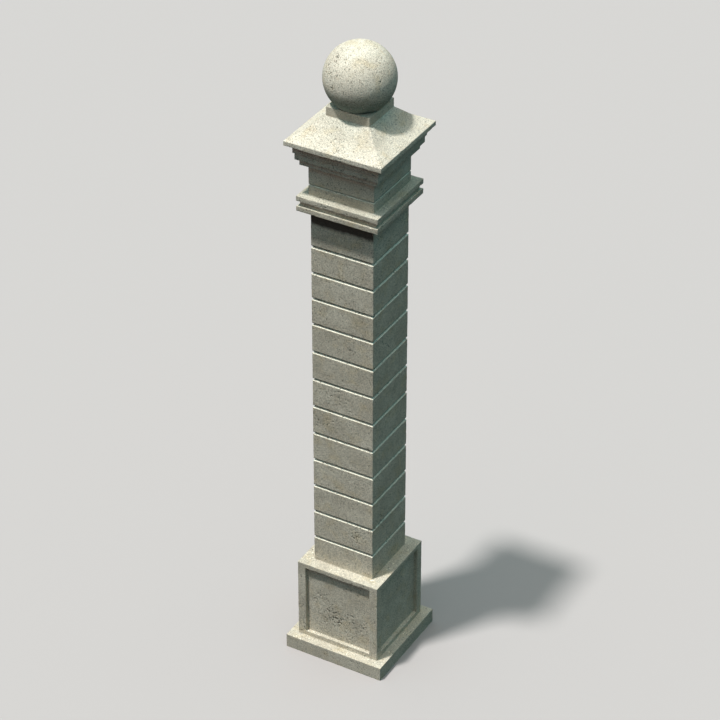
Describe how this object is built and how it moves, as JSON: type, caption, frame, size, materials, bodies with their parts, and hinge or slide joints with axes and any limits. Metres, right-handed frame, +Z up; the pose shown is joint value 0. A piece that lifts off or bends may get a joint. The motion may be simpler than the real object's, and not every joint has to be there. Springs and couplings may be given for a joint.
{
  "type": "banded stone pier with ball finial",
  "caption": "Square stone gate pier: a panelled pedestal on a plinth, a shaft with V joints, a moulded necking and cap, and a stone ball on top.",
  "frame": {"origin": "middle of the plinth's underside", "axes": "+Z up the pier; +X and +Y square to its faces"},
  "size_m": [0.74, 0.74, 4.5814],
  "materials": {
    "stone": "matte, dressed and pitted"
  },
  "bodies": {
    "root": {"plinth": "stone", "pedestal": "stone", "course_01": "stone", "course_02": "stone", "course_03": "stone", "course_04": "stone", "course_05": "stone", "course_06": "stone", "course_07": "stone", "course_08": "stone", "course_09": "stone", "course_10": "stone", "course_11": "stone", "course_12": "stone", "course_13": "stone", "necking": "stone", "frieze": "stone", "bed_moulding": "stone", "cap": "stone", "ball_block": "stone", "ball": "stone"}
  },
  "joints": []
}
